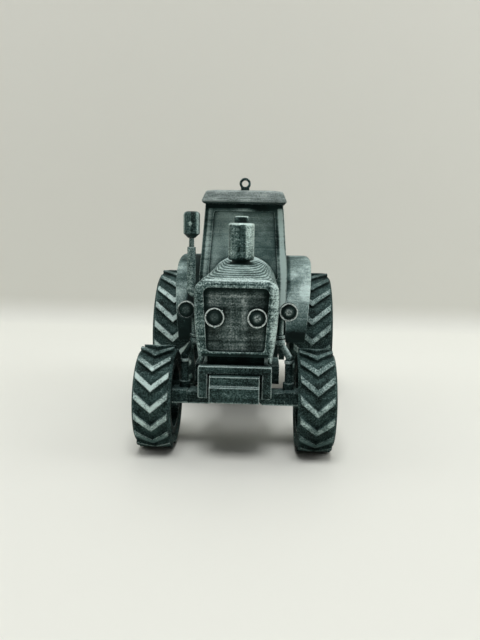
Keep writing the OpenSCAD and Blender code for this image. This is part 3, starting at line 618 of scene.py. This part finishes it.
def cab_front_look():
    """Bright pillars with painted shade inside their inner edges, under the eaves and on the right, dark
    outer edges, and brighter low on the left.
    """
    right_half = span("X", 0, 2, -8)
    left_inner_edge = span("pillar", CAB_HALF, -1.45, -2.15)
    left_outer_edge = span("pillar", CAB_HALF, -0.45, -0.05)
    left_low_part = span("Z", WAIST_Z, 10, 4)
    right_outer_edge = span("pillar", CAB_HALF, -1.35, -0.75)
    right_inner_edge = span("pillar", CAB_HALF, -1.55, -2.55)
    return printed(
        "dry_brushed_cab_front_and_painted_shade", 1.08, up=0.1, edge=1.2, reach=CAB_REACH,
        # Painted shade: the right half, the eaves and inside the pillars' inner edges
        patches=[(right_half, -0.3), (EAVES_SHADE, -1.2),
                 (TO_LEFT, left_inner_edge, -0.95), (TO_LEFT, left_outer_edge, -0.9),
                 (TO_LEFT, left_low_part, 0.4),
                 (TO_RIGHT, right_outer_edge, -0.6), (TO_RIGHT, right_inner_edge, -0.25)])


def cab_look():
    """The cab's other walls, with painted shade under the eaves."""
    return printed("dry_brushed_cab_and_painted_shade", 0.62, up=0.1, reach=CAB_REACH, patches=[(EAVES_SHADE, -1.0)])


def pane_look():
    """Opaque panes, a little brighter on the right."""
    right_half = span("X", 0, 4, -4)
    return printed("painted_panes", 0.53, layers=0.05, grain=0.6, cloudy=0.6, reach=PANE_REACH,
                   patches=[(right_half, 0.16)])


def hood_look():
    """Contour lines, a bright crest, a dark band low in the middle, and a nose with brighter edges, a painted
    shadow line over the grille and a painted highlight on its left cheek.
    """
    low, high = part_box("hood")
    nose, hood_end = low[1], high[1]
    hood_foot, hood_top = low[2], high[2]
    grille_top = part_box("grille")[1][2]
    face_front, face_back = nose + 1.6 * MM, nose + 2.4 * MM
    nose_face = ("Y", face_back, face_front)
    crest = span("Z", hood_top, -1.5, -0.7)
    back_part = span("Y", hood_end, -9, -4)
    back_top = span("Z", hood_top, -4.5, -1.5)
    # A dark band low in the middle of the hood
    low_band_width = span("side", 0, 8.1, 7.7)
    low_band_height = span("Z", hood_foot, 2.75, 2.35)
    left_cheek = span("X", 0, 7.9, 8.7)
    right_cheek = span("X", 0, -7.9, -8.7)
    dark_line = span("Z", grille_top, -0.2, 0.1)
    bright_line = span("Z", grille_top, 0.6, 1.0)
    return printed(
        "dry_brushed_hood_and_painted_light", 0.33, up=0.21, contour=0.21, grain=2.0, bead=(face_front, face_back, 0.14),
        patches=[(crest, 0.4), (back_part, back_top, 0.6), (low_band_width, low_band_height, -0.9),
                 # Painted highlight on the nose's left cheek, and a painted shadow line just over the grille
                 (left_cheek, nose_face, 0.42), (right_cheek, nose_face, 0.02),
                 (dark_line, nose_face, -0.16), (bright_line, nose_face, 0.48)])


def grille_look():
    """Grey streaks with painted shade at the sides and the top, and a bright one left of the middle."""
    sides = span("side", 0, 6.3, 7.6)
    bright_start = span("X", 0, 1.0, 1.8)
    bright_end = span("X", 0, 2.0, 3.2)
    top = span("Z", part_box("grille")[1][2], -2.4, -1.2)
    return printed(
        "grille_print", 0.33, grey=0.9, layers=0.14, grain=1.3, cloudy=1.0, streaks=0.35,
        # Painted shade at the sides and the top of the grille's recess
        patches=[(sides, -0.5), (bright_start, 0.22), (bright_end, -0.22), (top, -0.5)])


def muffler_look():
    """Metal paint with a painted reflection that leaves the middle dark and the left side lit, a bright rim
    and a painted shadow at the foot.
    """
    foot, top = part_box("muffler")[0][2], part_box("muffler")[1][2]
    shoulder = top - MUFFLER_CAP
    dark_middle = span("X", 0, -1.6, -0.4)
    lit_side = span("X", 0, 0.8, 1.9)
    below_shoulder = span("Z", shoulder, -0.8, -0.3)
    above_shoulder = span("Z", shoulder, 0, 0.15)
    rim = span("Z", top, -0.4, -0.15)
    dark_foot = span("Z", foot, 3, 1)
    return printed(
        "muffler_print", 0.58, metal=0.6, roughness=0.5, layers=0.05, grain=1.7, streaks=0.8,
        # Painted reflection: dark_middle and lit_side; painted shadow: dark_foot
        patches=[(dark_middle, -0.32), (lit_side, 0.52), (below_shoulder, 0.5), (above_shoulder, -0.75),
                 (rim, 0.8), (dark_foot, -0.6)])


def stack_head_look():
    """Dark metal with a painted highlight on each side and one in the middle."""
    head = middle("stack_head")
    # Painted highlights, two upright and one round
    left_light = span("X", head.x, 1.1, 1.9)
    right_light = span("X", head.x, -1.5, -2.2)
    middle_light = (head.x - 0.1 * MM, head.z + 0.3 * MM, 0.8 * MM, 0.5)
    return printed(
        "stack_head_print", 0.24, metal=0.6, roughness=0.4, layers=0.03, grain=1.4, streaks=1.2,
        patches=[(left_light, 0.45), (right_light, 0.35)], spots=[middle_light])


def stack_pipe_look():
    """Streaked metal, brighter at the foot."""
    bright_foot = span("Z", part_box("stack_pipe")[0][2], 2.9, 1.9)
    return printed("stack_pipe_print", 0.55, metal=0.3, layers=0.06, grain=1.6, streaks=0.9,
                   patches=[(bright_foot, 0.3)])


def rod_look():
    """Posts and arms, with a painted highlight on faces turned left and painted shade out on the right."""
    # Painted shade out on the right, and a painted highlight on faces turned left
    right_outside = span("X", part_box("lamp_posts")[0][0], 0.95, -0.05)
    left_face = ("facing_left", 0.1, 0.75)
    return printed("worn_rods_and_painted_light", 0.5, layers=0.06, grain=1.4,
                   patches=[(right_outside, -0.5), (left_face, 0.3)])


def ballast_look():
    """Near-black with rubbed edges."""
    return printed("ballast_print", 0.13, layers=0.08, grain=1.5, edge=2.2, edge_radius=BALLAST_EDGE)


def carrier_look():
    """Rubbed edges and bright rounded faces."""
    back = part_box("ballast_carrier")[1][1]
    return printed("carrier_print", 0.2, layers=0.08, grain=1.8, edge=2.2, edge_radius=CARRIER_EDGE,
                   bead=(back, back + MM, 0.6))


def knuckle_look():
    """Bright tops and lower edges."""
    top = span("Z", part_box("knuckle_left")[1][2], -0.8, -0.65)
    return printed("knuckle_print", 0.1, layers=0.06, grain=1.4, edge=0.5,
                   patches=[(top, 0.7), (AXLE_EDGE, 0.5)])


def bolster_look():
    """Rubbed edges and a bright top."""
    top = span("Z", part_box("front_bolster")[1][2], -0.7, -0.3)
    return printed("bolster_print", 0.16, layers=0.08, grain=1.5, edge=1.8, patches=[(top, 0.5)])


def tyre_look(end, side, axle, tip_radius):
    """Dark tyres with silver on their lugs, more of it on the right."""
    return printed(f"{end}_{side}_tyre_print", 0.17, up=0.05, edge=0.25, edge_radius=TYRE_EDGE,
                   reach=TYRE_REACH, layers=0.05, grain=1.4, lugs=(axle, tip_radius, LUG_SHARES[side]))


def lamp_look(name):
    """Dark lamps with a painted rim, a painted highlight on the lens and, as RIGHT_LOW_SHARES sets, painted
    shade low on the right rim.
    """
    radius = half_height(name)
    place = Vector((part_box(name)[1][0] - radius, 0, middle(name).z))
    return printed(f"{name}_print", -0.12, layers=0.04, grey=0.9,
                   lamp=(place, radius, RIGHT_LOW_SHARES[name]))


def dress(look, *names):
    """Gives nodes a look in place of the one they had."""
    for name in names:
        mesh = nodes[name].data
        mesh.materials.clear()
        mesh.materials.append(look)


# All nodes start dark, and most then get a look of their own
dress(printed("dark_print", 0.06, up=0.1, layers=0.08), *nodes)
dress(fender_look(), "fender_left", "fender_right")
dress(cab_front_look(), "cab_front")
dress(cab_look(), "cab_left", "cab_right", "cab_rear")
dress(pane_look(), "windscreen", "side_windows", "rear_window")
dress(printed("dry_brushed_roof", 0.58, up=0.1, edge=1.0, cloudy=0.4, grain=0.55, grey=0.9), "roof")
dress(printed("ring_print", 0.12, grain=1.2), "hanging_ring")
dress(hood_look(), "hood")
dress(grille_look(), "grille")
dress(muffler_look(), "muffler")
dress(stack_head_look(), "stack_head")
dress(stack_pipe_look(), "stack_pipe")
dress(rod_look(), "lamp_posts", "knuckle_arms")
dress(ballast_look(), "ballast_block")
dress(carrier_look(), "ballast_carrier")
dress(knuckle_look(), "knuckle_left", "knuckle_right")
dress(bolster_look(), "front_bolster")
dress(printed("axle_print", 0.12, layers=0.1, grain=1.5, edge=0.4, patches=[(AXLE_EDGE, 0.5)]), "front_axle")
dress(printed("dark_castings", 0.12, layers=0.08, grain=1.5, edge=1.1), "engine_block")
for side in LUG_SHARES:
    dress(tyre_look("front", side, FRONT_AXLE, FRONT_TIP_R), f"front_tyre_{side}")
    dress(tyre_look("rear", side, REAR_AXLE, REAR_TIP_R), f"rear_tyre_{side}")
for lamps in RIGHT_LOW_SHARES:
    dress(lamp_look(lamps), lamps)


# Trim in mesh code
SUNK = 0.1 * MM
DOME_LENGTH = 0.5
DOME_SHARE = 0.55
LEFTWARD = Vector((1, 0, 0))
WAYS = {"left": 1, "right": -1}
NUT_LOOK = printed("wheel_nut_print", 0.3, layers=0.04, grain=1.2, edge=1.0)
TRIM_LOOK = printed("cab_trim_print", 0.6, layers=0.04, grain=1.2)


def circle_angles(count):
    """Angles that part a circle evenly."""
    return [2 * math.pi * k / count for k in range(count)]


def scaled(shape, size):
    """A profile of (radius, height) in shares of a size."""
    return [(radius * size, height * size) for radius, height in shape]


def join_rings(form, pairs, sides):
    """Faces between pairs of rings, where a ring may be a single point."""
    for low, high in pairs:
        for k in range(sides):
            j = (k + 1) % sides
            corners = [low[k % len(low)], low[j % len(low)], high[j % len(high)], high[k % len(high)]]
            form.faces.new(list(dict.fromkeys(corners)))


def turned(form, place, axis, profile, sides, closed=False):
    """A profile of (radius, height) turned about an axis through place. A radius of 0 ends it in a point."""
    turn = Vector((0, 0, 1)).rotation_difference(axis).to_matrix()
    rings = []
    for radius, height in profile:
        angles = circle_angles(sides) if radius else [0.0]
        points = [Vector((radius * math.cos(a), radius * math.sin(a), height)) for a in angles]
        rings.append([form.verts.new(place + turn @ point) for point in points])
    pairs = list(zip(rings, rings[1:]))
    if closed:
        pairs.append((rings[-1], rings[0]))
    elif len(rings[0]) > 1:
        form.faces.new(rings[0][::-1])
    join_rings(form, pairs, sides)


def bent(points, radius, steps=4):
    """A path through points with its corners rounded."""
    path = [points[0]]
    for before, corner, after in zip(points, points[1:], points[2:]):
        start = corner + (before - corner).normalized() * radius
        end = corner + (after - corner).normalized() * radius
        for i in range(steps + 1):
            t = i / steps
            path.append(start * (1 - t) ** 2 + corner * 2 * t * (1 - t) + end * t ** 2)
    return path + [points[-1]]


def tube(form, path, radius, across, sides=8):
    """A round bar along path with domed ends. across is a direction that no part of the path runs along."""
    first = path[0] + (path[0] - path[1]).normalized() * radius * DOME_LENGTH
    last = path[-1] + (path[-1] - path[-2]).normalized() * radius * DOME_LENGTH
    stations = [(first, DOME_SHARE)] + [(point, 1.0) for point in path] + [(last, DOME_SHARE)]
    rings = []
    for i, (point, share) in enumerate(stations):
        ahead = (stations[min(i + 1, len(stations) - 1)][0] - stations[max(i - 1, 0)][0]).normalized()
        out = (across - ahead * across.dot(ahead)).normalized()
        side = ahead.cross(out)
        spokes = [out * math.cos(a) + side * math.sin(a) for a in circle_angles(sides)]
        rings.append([form.verts.new(point + spoke * radius * share) for spoke in spokes])
    form.faces.new(rings[0][::-1])
    form.faces.new(rings[-1])
    join_rings(form, zip(rings, rings[1:]), sides)


def add_piece(name, form, look, body):
    """A piece from a form, with its look, body and slot."""
    bmesh.ops.recalc_face_normals(form, faces=form.faces[:])
    mesh = bpy.data.meshes.new(name)
    form.to_mesh(mesh)
    form.free()
    mesh.materials.append(look)
    piece = bpy.data.objects.new(name, mesh)
    scene.collection.objects.link(piece)
    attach(piece, body)


# Wheel nuts: the disc's place out from mid-tyre, the nuts' circle, count and size, and the ring's radius
WHEEL_SIZES = {
    "front": {"face": 0.8 * MM, "circle": 4.9 * MM, "count": 6, "size": 0.75 * MM, "ring": 6.7 * MM},
    "rear": {"face": 1.0 * MM, "circle": 6.6 * MM, "count": 8, "size": 0.95 * MM, "ring": 10.4 * MM},
}
NUT_SHAPE = [(1.0, 0.6), (0.8, 0.85), (0, 0.85)]
NUT_SIDES = 6
STUD_SHAPE = [(0.42, 0.7), (0.42, 1.2), (0.3, 1.35), (0, 1.35)]
STUD_SIDES = 10
RING_HALF = 0.4 * MM
RING_TOP_HALF = 0.2 * MM
RING_STEP = 0.1 * MM
RING_HEIGHT = 0.34 * MM
RING_SIDES = 48


def wheel_nuts(end, side, face, circle, count, size, ring):
    """Wheel nuts on their studs and a raised ring round the wheel disc."""
    axis = LEFTWARD * WAYS[side]
    hub = middle(f"{end}_tyre_{side}") + axis * face
    form = bmesh.new()
    for k in range(count):
        a = 2 * math.pi * (k + 0.5) / count
        place = hub + Vector((0, circle * math.cos(a), circle * math.sin(a)))
        turned(form, place, axis, [(size, -SUNK)] + scaled(NUT_SHAPE, size), NUT_SIDES)
        turned(form, place, axis, scaled(STUD_SHAPE, size), STUD_SIDES)
    inner = [(ring - RING_HALF, -SUNK), (ring - RING_HALF, RING_STEP), (ring - RING_TOP_HALF, RING_HEIGHT)]
    outer = [(ring + RING_TOP_HALF, RING_HEIGHT), (ring + RING_HALF, RING_STEP), (ring + RING_HALF, -SUNK)]
    turned(form, hub, axis, inner + outer, RING_SIDES, closed=True)
    add_piece(f"wheel_nuts_{end}_{side}", form, NUT_LOOK, f"{end}_wheel_{side}")


# Lamp nubs: the lamp's side, the angle round its rim in degrees and the size
NUBS = [("right", -88, 0.34 * MM), ("right", 42, 0.26 * MM),
        ("left", -90, 0.3 * MM), ("left", 200, 0.22 * MM)]
NUB_SHAPE = [(1.0, 0), (0.8, 0.7), (0.35, 1.3), (0, 1.5)]
NUB_SIDES = 8
NUB_BEHIND_FACE = 0.32 * MM


def lamp_nubs():
    """Stubs of print supports, left on the rims of the grille lamps."""
    low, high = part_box("grille_lamps")
    radius = (high[2] - low[2]) / 2
    form = bmesh.new()
    for side, degrees, size in NUBS:
        a = math.radians(degrees)
        out = Vector((math.cos(a), 0, math.sin(a)))
        lamp_x = WAYS[side] * (high[0] - radius)
        lamp = Vector((lamp_x, low[1] + NUB_BEHIND_FACE, (low[2] + high[2]) / 2))
        turned(form, lamp + out * (radius - SUNK), out, scaled(NUB_SHAPE, size), NUB_SIDES)
    add_piece("lamp_nubs", form, TRIM_LOOK, "body")


# Doors, with their bead and hinges
DOOR_FRONT = CAB_Y + 1.7 * MM
DOOR_BACK = CAB_Y + 14 * MM
DOOR_FRONT_FOOT = WAIST_Z - 7.5 * MM
DOOR_BACK_FOOT = WAIST_Z + 3 * MM
DOOR_TOP = WAIST_Z + 20 * MM
BEAD_BEND = 0.8 * MM
BEAD_RADIUS = 0.17 * MM
HINGE_HEIGHTS = (WAIST_Z + 6.5 * MM, WAIST_Z + 15.5 * MM)
HINGE_OUT = 0.18 * MM
BARRELS = [(-0.75 * MM, 0.434 * MM), (0, 0.406 * MM), (0.75 * MM, 0.434 * MM)]
BARREL_HALF = 0.34 * MM
BARREL_SIDES = 10


def cab_side(way, y, z, out):
    """A point at y and z, out from the cab's side, which leans in above the waist."""
    return Vector((way * (CAB_HALF - CAB_LEAN * max(0, z - WAIST_Z) + out), y, z))


def door_trim(side):
    """A raised bead round the door and two hinges at its back, each of three barrels."""
    way = WAYS[side]
    form = bmesh.new()
    outline = [(DOOR_FRONT, DOOR_FRONT_FOOT), (DOOR_FRONT, WAIST_Z), (DOOR_FRONT, DOOR_TOP),
               (DOOR_BACK, DOOR_TOP), (DOOR_BACK, DOOR_BACK_FOOT)]
    tube(form, bent([cab_side(way, y, z, 0) for y, z in outline], BEAD_BEND), BEAD_RADIUS, LEFTWARD)
    for hinge_z in HINGE_HEIGHTS:
        for offset, radius in BARRELS:
            low = cab_side(way, DOOR_BACK, hinge_z + offset - BARREL_HALF, HINGE_OUT)
            top = cab_side(way, DOOR_BACK, hinge_z + offset + BARREL_HALF, HINGE_OUT)
            tube(form, [low, top], radius, LEFTWARD, BARREL_SIDES)
    add_piece(f"door_trim_{side}", form, TRIM_LOOK, "body")


for side in WAYS:
    for end, sizes in WHEEL_SIZES.items():
        wheel_nuts(end, side, **sizes)
lamp_nubs()
for side in WAYS:
    door_trim(side)
